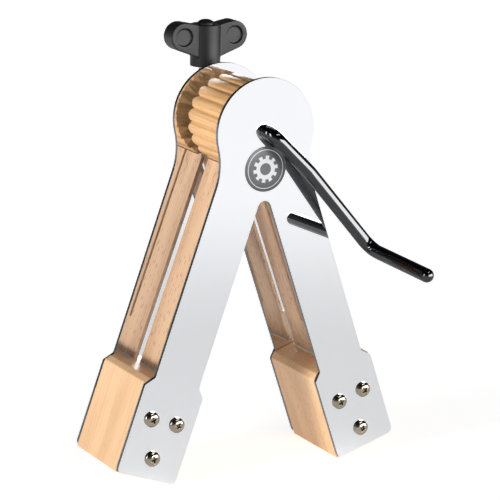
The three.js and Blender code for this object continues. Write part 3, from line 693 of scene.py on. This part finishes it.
@dataclass
class Leg:
    """One leg's wood: its end block, its split tongue and the glue at their joint."""

    side: Side
    block_ease: float = 0.45 * MM
    tongue_ease: float = 0.25 * MM
    slot_half_width: float = 2.4 * MM  # of the block's slot, which isn't rounded
    slot_half_depth: float = 22.5 * MM
    slot_reach: float = 16 * MM
    holes_along: tuple[float, float] = (19 * MM, 47 * MM)  # where the screw holes lie
    holes_across: tuple[float, float] = (2 * MM, 13 * MM)  # their middle and half span
    glue_radius: float = 1.15 * MM
    glue_offset: float = 1.55 * MM  # from the tongue's middle
    glue_flatness: float = 0.8

    @property
    def down(self) -> Vector:
        """Unit vector from the shaft down the leg."""
        return Vector((self.side.value * math.sin(LEG_SPLAY), 0, -math.cos(LEG_SPLAY)))

    @property
    def out(self) -> Vector:
        """Unit vector across the leg, away from the other leg."""
        return Vector((self.side.value * math.cos(LEG_SPLAY), 0, math.sin(LEG_SPLAY)))

    @property
    def root(self) -> Vector:
        """Middle of the tongue where it enters the block."""
        return Vector(joint(f"{self.side.word}_tongue_flex")["pos_m"])

    def in_slot(self, point: Vector) -> bool:
        """Says whether a point lies on the block's slot or screw holes."""
        away = point - self.root
        across, along = away.dot(self.out), away.dot(self.down)
        beside = abs(across) < self.slot_half_width and abs(away.y) < self.slot_half_depth
        first, last = self.holes_along
        middle, half = self.holes_across
        on_hole = first < along < last and abs(across - middle) < half
        return beside and along < self.slot_reach or on_hole

    def build(self) -> None:
        """Builds the block, the tongue and the glue."""
        word = self.side.word
        grain = Grain.LEFT_LEG if self.side is Side.LEFT else Grain.RIGHT_LEG
        solid = Beech(
            f"{word} block beech", grain, dark=(0.60, 0.365, 0.185, 1.0), fleck_amount=0.3
        )
        block = eased_copy(f"{word}_end_block", self.block_ease, left_alone=self.in_slot)
        dress(block, solid.build(), "frame", "beech_block", f"{word}_end_block")
        thin = Beech(
            f"{word} tongue beech",
            grain,
            light=(0.66, 0.44, 0.275, 1.0),
            dark=(0.50, 0.31, 0.185, 1.0),
            fleck=(0.27, 0.145, 0.08, 1.0),
            fleck_amount=0.85,
        )
        tongue = eased_copy(f"{word}_tongue", self.tongue_ease)
        dress(tongue, thin.build(), f"tongue_on_{word}", "beech_tongue", f"{word}_tongue")
        self.glue()

    def glue(self) -> None:
        """Builds the two beads of glue beside the tongue.

        A bead is a half-round run along Y whose radius swells and thins by a sum of two sines
        and closes to a point at both ends.
        """
        low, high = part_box(f"{self.side.word}_tongue")
        along = np.linspace(0, 1, 90)
        turn = np.linspace(0, 2 * np.pi, 20, endpoint=False)
        swell = 1 + 0.10 * np.sin(19 * along + self.side.value) + 0.05 * np.sin(47 * along)
        radius = self.glue_radius * swell * np.minimum(1, 12 * np.minimum(along, 1 - along)) ** 0.5
        y = low.y + (high.y - low.y) * along
        material = ClearGlue().build()
        for number, way in enumerate((-1, 1)):
            centre = self.root + self.out * (way * self.glue_offset)
            sideways = np.array(self.out) * way
            upwards = -np.array(self.down)
            grid = (
                np.array(centre)[None, None] * [1, 0, 1]
                + y[:, None, None] * np.array([0, 1, 0])
                + (radius[:, None] * np.cos(turn))[..., None] * sideways
                + (self.glue_flatness * radius[:, None] * np.sin(turn))[..., None] * upwards
            )
            bead = sheet_of_quads(f"{self.side.word}_glue_{number}", grid, crease=180.0)
            dress(bead, material, "frame", "nylon")


@dataclass
class WoodScrews:
    """Pan-head screws through the plates into the blocks."""

    head_radius: float = 4.45 * MM
    head_height: float = 2.9 * MM
    shank_radius: float = 2.1 * MM
    length: float = 19.0 * MM
    recess_half_span: float = 2.25 * MM
    recess_half_width: float = 0.40 * MM
    recess_depth: float = 1.75 * MM
    recess_wall: float = 0.36 * MM  # width of the recess's sloping sides
    recess_end: float = 1.1 * MM  # and of the slope at its ends
    dome_drop: float = 0.62  # how far the dome falls to its rim, as a share of its height
    dome_power: float = 3.2
    rim_share: float = 0.38
    rim_round: float = 0.12 * MM
    point_length: float = 4 * MM
    rings: int = 56
    spokes: int = 96
    finish: Plated = Plated("bright nickel", (0.36, 0.31, 0.24, 1.0), 0.09)
    turns: tuple[float, ...] = (0.35, 1.1, 0.2, 0.8, 0.45, 1.3, 0.6, 0.15, 0.95, 0.5, 1.2, 0.75)

    def dome(self, share: np.ndarray) -> np.ndarray:
        """Returns the dome's height at each share of the head's radius."""
        return self.head_height * (1 - self.dome_drop * share**self.dome_power)

    def head(self) -> np.ndarray:
        """Works out the head's top as a surface of radius and turn.

        Height is a dome that falls as a power of the radius, less a cross-shaped recess.  The
        recess is the deeper of two grooves at right angles; each falls from full depth on its
        middle line to nothing past its half width, and shallows towards the ends of its span.

        Returns:
            Points (rings, spokes, 3) as x, z across the axis and height.
        """
        turn = np.linspace(0, 2 * np.pi, self.spokes, endpoint=False)
        share = np.linspace(0, 1, self.rings) ** 0.9  # rings lie a little closer near the rim
        radius = (share * self.head_radius)[:, None]
        x, z = radius * np.cos(turn), radius * np.sin(turn)

        def groove(across: np.ndarray, along: np.ndarray) -> np.ndarray:
            """Returns how deep a groove is, from 0 to 1."""
            wide = self.recess_half_width + self.recess_wall / 2
            wall = np.clip((wide - np.abs(across)) / self.recess_wall, 0, 1)
            end = np.clip((self.recess_half_span - np.abs(along)) / self.recess_end, 0, 1)
            return wall * end

        cross = np.maximum(groove(x, z), groove(z, x))
        cross = cross * cross * (3 - 2 * cross)
        height = self.dome(share)[:, None] - self.recess_depth * cross
        return np.stack([x, z, height], axis=-1)

    def build(self) -> None:
        """Builds all the screws, each turned as it was left by the driver."""
        material = self.finish.build()
        top = self.head()
        names = [
            f"{plate}_{side.word}_{place}_screw"
            for plate in ("front", "rear")
            for side in Side
            for place in ("outer", "inner", "lower")
        ]
        for name, turn in zip(names, self.turns):
            self.screw(name, turn, top, material)

    def screw(
        self, node: str, turn: float, top: np.ndarray, material: bpy.types.Material
    ) -> None:
        """Builds one screw: its head, then a profile for the rim, seat, shank and point.

        Args:
            node: the CAD node that it replaces.
            turn: the cross's turn about the screw's axis, radians.
            top: the head's points, as from head().
            material: the finish.
        """
        low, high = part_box(node)
        front = node.startswith("front")
        inward = 1.0 if front else -1.0
        seat = low.y + self.head_height if front else high.y - self.head_height
        spin = np.linspace(0, 2 * np.pi, top.shape[1], endpoint=False)
        rim = self.head_height * self.rim_share
        below = np.array(
            [
                [self.head_radius, rim * 0.5],
                [self.head_radius, self.rim_round],
                [self.head_radius - self.rim_round, 0.0],
                [self.shank_radius, 0.0],
                [self.shank_radius, -self.length + self.point_length],
                [0.0, -self.length],
            ]
        )
        lower = np.stack(
            [
                below[:, :1] * np.cos(spin),
                below[:, :1] * np.sin(spin),
                np.repeat(below[:, 1:], len(spin), axis=1),
            ],
            axis=-1,
        )
        local = np.concatenate([top, lower])
        x = local[..., 0] * math.cos(turn) - local[..., 1] * math.sin(turn)
        z = local[..., 0] * math.sin(turn) + local[..., 1] * math.cos(turn)
        middle = (low + high) / 2
        grid = np.stack([middle.x + x, seat - inward * local[..., 2], middle.z + z], axis=-1)
        piece = sheet_of_quads(f"{node}_turned", grid, crease=38.0)
        # painted shade for the cross recess: 0 at the dome's surface, rising to 0.6 at the recess's
        # full depth
        place = np.zeros(len(piece.data.vertices) * 3)
        piece.data.vertices.foreach_get("co", place)
        place = place.reshape(-1, 3) - [middle.x, seat, middle.z]
        radius = np.hypot(place[:, 0], place[:, 2])
        dome = self.dome(radius / self.head_radius)
        sunk = np.clip((dome + inward * place[:, 1]) / self.recess_depth, 0, 1)
        inside = (radius < self.recess_half_span) & (-inward * place[:, 1] > 0)
        hollow = piece.data.attributes.new("hollow", "FLOAT", "POINT")
        hollow.data.foreach_set("value", (sunk * inside * 0.6).astype(np.float32))
        dress(piece, material, "frame", "nickel_screw", node)


@dataclass
class ToothedWheel:
    """The beech wheel."""

    crest_ease: float = 0.18 * MM

    def build(self) -> None:
        """Builds the wheel, with its grain along the shaft."""
        wood = Beech(
            "wheel beech",
            Grain.ALONG_SHAFT,
            light=(0.64, 0.385, 0.175, 1.0),
            dark=(0.40, 0.20, 0.075, 1.0),
            fleck_amount=0.35,
        )
        piece = eased_copy("toothed_wheel", self.crest_ease, sharper_than=22.0)
        dress(piece, wood.build(), "rotor", "beech_wheel", "toothed_wheel")


@dataclass
class CrankRod:
    """The bent black-chrome rod, from its grip's domed end to the shaft's rear end."""

    radius: float = 4.0 * MM
    # corners of the middle line, in millimetres from where the shaft leaves the front plate
    elbow: tuple[float, float, float] = (0.0, -7.6, 0.0)
    kink: tuple[float, float, float] = (22.6, -10.6, -23.0)
    wrist: tuple[float, float, float] = (59.7, -18.7, -69.1)
    tip: tuple[float, float, float] = (62.0, -78.7, -71.9)
    elbow_bend: float = 7.0 * MM
    kink_bend: float = 16.0 * MM
    wrist_bend: float = 9.0 * MM
    rear_chamfer: float = 0.5 * MM
    bend_steps: int = 18
    dome_steps: int = 12
    round_steps: int = 64
    finish: Plated = Plated(
        "black chrome", (0.066, 0.067, 0.07, 1.0), 0.05, tarnish=(0.045, 0.045, 0.047, 1.0)
    )

    def path(self) -> tuple[np.ndarray, np.ndarray]:
        """Works out the rod's middle line and its direction.

        Straight runs meet in arcs: an arc point is start + into * r sin(a) + across * r (1 -
        cos(a)), for a from 0 to the bend's whole turn.

        Returns:
            Points and unit tangents, each of shape (n, 3).
        """
        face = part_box("front_plate")[0].y
        origin = np.array([SHAFT.x, face, SHAFT.z])
        corners = [origin + np.array(c) * MM for c in (self.elbow, self.kink, self.wrist)]
        grip = origin + np.array(self.tip) * MM
        rear = np.array([SHAFT.x, self.rear_end, SHAFT.z])
        bends = (self.elbow_bend, self.kink_bend, self.wrist_bend)
        points, tangents = [rear], [np.array([0.0, -1.0, 0.0])]
        before = rear
        for corner, bend, after in zip(corners, bends, [*corners[1:], grip]):
            into = (corner - before) / np.linalg.norm(corner - before)
            onward = (after - corner) / np.linalg.norm(after - corner)
            turn = np.arccos(np.clip(into @ onward, -1, 1))
            across = onward - into * (into @ onward)
            across /= np.linalg.norm(across)
            start = corner - into * bend * np.tan(turn / 2)
            angle = np.linspace(0, turn, self.bend_steps)[:, None]
            arc = start + into * bend * np.sin(angle) + across * bend * (1 - np.cos(angle))
            points.extend(arc)
            tangents.extend(into * np.cos(angle) + across * np.sin(angle))
            before = corner
        points.append(grip)
        tangents.append(onward)
        return np.array(points), np.array(tangents)

    @property
    def rear_end(self) -> float:
        """Where the shaft ends, behind the rear plate."""
        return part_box("crank_rod")[1].y

    def build(self) -> None:
        """Builds the rod: a circle carried along the path without twisting.

        The domed end is the circle shrunk as a half ellipse over the last radius, and the rear
        end has a small chamfer.
        """
        points, tangents = self.path()
        step = np.linspace(0, np.pi / 2, self.dome_steps)
        run = tangents[-1]
        base = points[-1] - run * self.radius
        dome_points = base + np.outer(np.sin(step) * self.radius, run)
        ends = [points[0] + tangents[0] * d for d in (0.0, 0.0, self.rear_chamfer)]
        centres = np.vstack([ends, points[1:-1], dome_points])
        sizes = np.ones(len(centres)) * self.radius
        sizes[:3] = [0.0, self.radius - self.rear_chamfer, self.radius]
        sizes[-len(step) :] = self.radius * np.cos(step)
        lines = np.vstack([np.repeat(tangents[:1], 3, axis=0), tangents[1:-1]])
        lines = np.vstack([lines, np.repeat(run[None], len(step), axis=0)])
        across = self.carried(lines)
        beside = np.cross(lines, across)
        turn = np.linspace(0, 2 * np.pi, self.round_steps, endpoint=False)
        ring = across[:, None] * np.cos(turn)[None, :, None]
        ring = ring + beside[:, None] * np.sin(turn)[None, :, None]
        grid = centres[:, None] + ring * sizes[:, None, None]
        piece = sheet_of_quads("crank_rod_bent", grid, crease=50.0)
        dress(piece, self.finish.build(), "rotor", "black_chrome", "crank_rod")

    def carried(self, lines: np.ndarray) -> np.ndarray:
        """Carries one across-vector along the tangents, taking out what leans along each."""
        current = np.array([1.0, 0.0, 0.0])
        kept = []
        for line in lines:
            current = current - line * (current @ line)
            current = current / np.linalg.norm(current)
            kept.append(current)
        return np.array(kept)


@dataclass
class WingScrew:
    """The black wing handle, its cap, the threaded stud and the swivel pad."""

    voxel: float = 0.36 * MM
    softening: int = 3
    thread_radius: float = 3.9 * MM
    thread_depth: float = 0.62 * MM
    pitch: float = 1.25 * MM
    runout: float = 0.7 * MM  # plain length at each end of the thread
    stud_head: float = 5 * MM  # its radius and its height
    tip_radius: float = 3.3 * MM
    bore_radius: float = 1.8 * MM
    bore_depth: float = 3.7 * MM
    cap_dome: float = 2.8 * MM
    plastic: Moulded = Moulded(
        "black moulded plastic", (0.0035, 0.0035, 0.004, 1.0), 0.46, speckle=0.1, shine=0.32
    )

    def build(self) -> None:
        """Builds the handle, cap and stud, and finishes the pad."""
        plastic = self.plastic.build()
        dress(self.handle(), plastic, "wing_screw", "black_plastic", "wing_handle")
        dress(self.cap(), plastic, "wing_screw", "black_plastic", "handle_cap")
        steel = Plated("stud steel", (0.55, 0.55, 0.56, 1.0), 0.24).build()
        dress(self.stud(), steel, "wing_screw", "plain_steel", "clamp_stud")
        coat_node("swivel_pad", Plated("pad brass", (0.72, 0.50, 0.20, 1.0), 0.22).build())

    def handle(self) -> bpy.types.Object:
        """Builds the handle: the CAD solid cut into small cells, then softened as moulded."""
        mesh = frame["nodes"]["wing_handle"].data.copy()
        mesh.materials.clear()
        piece = link_new("wing_handle_moulded", mesh)
        work = bmesh.new()
        work.from_mesh(mesh)
        bmesh.ops.remove_doubles(work, verts=work.verts, dist=2e-6)
        work.to_mesh(mesh)
        work.free()
        remesh = piece.modifiers.new("cells", "REMESH")
        remesh.mode = "VOXEL"
        remesh.voxel_size = self.voxel
        soften = piece.modifiers.new("soften", "SMOOTH")
        soften.factor = 0.5
        soften.iterations = self.softening
        graph = bpy.context.evaluated_depsgraph_get()
        done = bpy.data.meshes.new_from_object(piece.evaluated_get(graph))
        piece.modifiers.clear()
        piece.data = done
        shade(done, 180.0)
        return piece

    def cap(self) -> bpy.types.Object:
        """Builds the cap: a stem under a dome that is a quarter ellipse in section."""
        low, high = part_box("handle_cap")
        radius = (high.x - low.x) / 2
        turn = np.linspace(0, np.pi / 2, 14)
        dome = self.cap_dome
        arc = np.stack([radius * np.cos(turn), high.z - dome + dome * np.sin(turn)], axis=1)
        profile = np.vstack([[0, low.z], [radius, low.z], arc])
        place = Vector((SCREW_AXIS.x, SCREW_AXIS.y, 0))
        return sheet_of_quads("handle_cap_domed", turned(profile, 72, Vector((0, 0, 1)), place))

    def stud(self) -> bpy.types.Object:
        """Builds the stud.

        The thread's radius at turn t and height z is the outer radius less the depth times a
        triangle wave of z / pitch - t / (2 pi), which makes a single right-hand start.  Above it
        are the round head, and below it the tip with its blind bore for the pad's stem.
        """
        low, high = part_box("clamp_stud")
        head_low = high.z - self.stud_head
        turn = np.linspace(0, 2 * np.pi, 60, endpoint=False)
        z = np.linspace(low.z + self.runout, head_low - self.runout, 300)
        wave = np.abs(2 * ((z[:, None] / self.pitch - turn / (2 * np.pi)) % 1) - 1)
        fade = np.clip(np.minimum(z - z[0], z[-1] - z) / self.pitch, 0, 1)[:, None]
        thread = self.thread_radius - self.thread_depth * wave * fade
        bore, floor, wide = self.bore_radius, low.z + self.bore_depth, self.stud_head
        tip_rows = np.array([[0, floor], [bore, floor], [bore, low.z], [self.tip_radius, low.z]])
        head_rows = np.array(
            [[self.thread_radius, head_low], [wide, head_low], [wide, high.z], [0, high.z]]
        )
        radius = np.vstack(
            [
                np.repeat(tip_rows[:, :1], len(turn), axis=1),
                thread,
                np.repeat(head_rows[:, :1], len(turn), axis=1),
            ]
        )
        height = np.concatenate([tip_rows[:, 1], z, head_rows[:, 1]])
        grid = np.stack(
            [
                SCREW_AXIS.x + radius * np.cos(turn),
                SCREW_AXIS.y + radius * np.sin(turn),
                np.repeat(height[:, None], len(turn), axis=1),
            ],
            axis=-1,
        )
        return sheet_of_quads("clamp_stud_threaded", grid, crease=35.0)


@dataclass
class RodClamp:
    """The clamp body on the rear plate."""

    ease: float = 0.6 * MM
    coating: Moulded = Moulded(
        "black powder coat", (0.018, 0.018, 0.019, 1.0), 0.5, pebble_depth=0.00006, speckle=0.5
    )

    def build(self) -> None:
        """Builds the body, with its edges rounded."""
        body = eased_copy("clamp_body", self.ease, segments=3, sharper_than=40.0)
        dress(body, self.coating.build(), "frame", "clamp_coat", "clamp_body")


@dataclass
class SmallFittings:
    """The washer, clip, pin, spacers and clamp screws, whose CAD shapes are right."""

    steel_nodes: tuple[str, ...] = (
        "drive_pin",
        "thrust_washer",
        "retaining_clip",
        "left_clamp_screw",
        "right_clamp_screw",
    )

    def build(self) -> None:
        """Finishes each fitting."""
        steel = Plated("zinc plated steel", (0.58, 0.59, 0.62, 1.0), 0.26).build()
        nylon = Moulded("natural nylon", (0.76, 0.73, 0.66, 1.0), 0.42, speckle=0.15).build()
        for node in self.steel_nodes:
            coat_node(node, steel)
        for node in ("front_spacer", "rear_spacer"):
            coat_node(node, nylon)


# Studio


@dataclass
class Softbox:
    """One soft rectangular light, aimed at a point."""

    name: str
    place: tuple[float, float, float]
    size: tuple[float, float]
    power: float
    aim: tuple[float, float, float] = (0.0, 0.0, 0.12)

    def build(self) -> None:
        """Adds the light."""
        data = bpy.data.lights.new(self.name, "AREA")
        data.shape = "RECTANGLE"
        data.size, data.size_y = self.size
        data.energy = self.power
        lamp = link_new(self.name, data)
        lamp.location = self.place
        lamp.visible_diffuse = False  # it only draws highlights
        away = Vector(self.aim) - Vector(self.place)
        lamp.rotation_euler = away.to_track_quat("-Z", "Y").to_euler()


@dataclass
class Studio:
    """Pale floor, white surround, soft lights and the camera."""

    lens: float = 175.60
    eye: tuple[float, float, float] = (-0.65202, -1.17206, 0.46321)
    gaze: tuple[float, float, float] = (0.46816, 0.85038, -0.24016)
    upward: tuple[float, float, float] = (0.09599, 0.22123, 0.97049)
    horizon: float = 0.55  # brightness of the surround low down, on dull surfaces
    zenith: float = 0.20  # and overhead
    sides: float = 0.20  # the same two for glossy surfaces
    ceiling: float = 0.02
    dull_rise: tuple[float, float] = (0.1, 0.8)  # heights where horizon ends and zenith starts
    glossy_rise: tuple[float, float] = (0.18, 0.5)  # and the same for sides and ceiling
    glow: float = 0.68  # an overlit sweep's own light
    glow_near: float = 0.40  # and as polished metal sees it close to the object
    near_edge: tuple[float, float] = (0.25, 0.75)  # metres over which the one turns to the other
    floor_reach: float = 6.0

    def build(self) -> None:
        """Builds the floor, the surround, the lights and the camera."""
        self.floor()
        self.world()
        self.sun("key from the left", (-1.0, -0.14, 0.06), 3.3, 12.0)
        self.sun("fill from the front", (-0.1, -1.0, 0.35), 0.5, 60.0)
        boxes = (
            Softbox("broad panel at the right", (0.85, -1.15, 0.34), (2.0, 0.62), 46.0),
            Softbox("strip overhead", (0.35, -0.65, 1.2), (0.9, 0.12), 3.0),
            Softbox("strip on the left", (-1.3, -0.35, 0.5), (0.22, 0.7), 7.0),
        )
        for box in boxes:
            box.build()
        self.camera()

    def sun(self, name: str, towards: tuple, strength: float, softness: float) -> None:
        """Adds an even light that lies in the direction towards, softness degrees wide."""
        data = bpy.data.lights.new(name, "SUN")
        data.energy = strength
        data.angle = math.radians(softness)
        lamp = link_new(name, data)
        lamp.visible_glossy = False
        lamp.rotation_euler = Vector(towards).to_track_quat("Z", "Y").to_euler()

    def floor(self) -> None:
        """Builds the floor: one large pale square with a light of its own."""
        square = np.array([[-1, -1, 0], [1, -1, 0], [1, 1, 0], [-1, 1, 0]])
        corners = square * self.floor_reach
        mesh = bpy.data.meshes.new("floor")
        mesh.from_pydata(corners.tolist(), [], [(0, 1, 2, 3)])
        floor = link_new("floor", mesh)
        paint = Paint("pale floor")
        mottle = paint.tree.noise(paint.place, 3.0, 2.0)
        pale = paint.tree.mix(mottle, (0.90, 0.90, 0.905, 1.0), (0.93, 0.93, 0.935, 1.0))
        paint.set(Base_Color=pale, Roughness=0.9, Specular_IOR_Level=0.0)
        glossy = paint.tree.node("ShaderNodeLightPath").outputs["Is Glossy Ray"]
        away = paint.tree.node("ShaderNodeVectorMath", {0: paint.place}, operation="LENGTH")
        glows = (self.glow_near, self.glow)
        near = paint.tree.step(away.outputs["Value"], *self.near_edge, glows)
        seen = paint.tree.between(glossy, self.glow, near)
        paint.set(Emission_Color=WHITE, Emission_Strength=seen)
        mesh.materials.append(paint.material)

    def world(self) -> None:
        """Builds the surround: white to look at, and dimmer overhead as a light."""
        world = bpy.data.worlds.new("white surround")
        bpy.context.scene.world = world
        world.use_nodes = True
        tree = Tree(world.node_tree)
        tree.tree.nodes.clear()
        direction = tree.node("ShaderNodeTexCoord").outputs["Generated"]
        height = tree.node("ShaderNodeSeparateXYZ", {0: direction}).outputs[2]
        gloss = tree.step(height, *self.glossy_rise, (self.sides, self.ceiling))
        dull = tree.step(height, *self.dull_rise, (self.horizon, self.zenith))
        path = tree.node("ShaderNodeLightPath")
        level = tree.between(path.outputs["Is Glossy Ray"], dull, gloss)
        lit = tree.node("ShaderNodeBackground", {"Color": WHITE, "Strength": level})
        seen = tree.node("ShaderNodeBackground", {"Color": WHITE, "Strength": 1.0})
        straight = path.outputs["Is Camera Ray"]
        both = tree.node("ShaderNodeMixShader", {0: straight, 1: lit.outputs[0], 2: seen.outputs[0]})
        tree.node("ShaderNodeOutputWorld", {"Surface": both.outputs[0]})
        bpy.context.scene.view_settings.view_transform = "Standard"

    def camera(self) -> None:
        """Builds the camera from its place, its line of sight and its upward direction."""
        data = bpy.data.cameras.new("camera")
        data.lens = self.lens
        data.sensor_width = 36.0
        data.clip_end = 50.0
        camera = link_new("camera", data)
        back = -Vector(self.gaze).normalized()
        up = Vector(self.upward).normalized()
        right = up.cross(back).normalized()
        turn = Matrix((right, back.cross(right), back)).transposed().to_4x4()
        camera.matrix_world = Matrix.Translation(self.eye) @ turn
        bpy.context.scene.camera = camera


def main() -> None:
    """Builds the studio and every sub-assembly."""
    Studio().build()
    SidePlates().build()
    for side in Side:
        Leg(side).build()
    WoodScrews().build()
    ToothedWheel().build()
    CrankRod().build()
    WingScrew().build()
    RodClamp().build()
    SmallFittings().build()


if __name__ == "__main__":
    logging.basicConfig(level=logging.INFO, format="%(name)s: %(message)s")
    main()
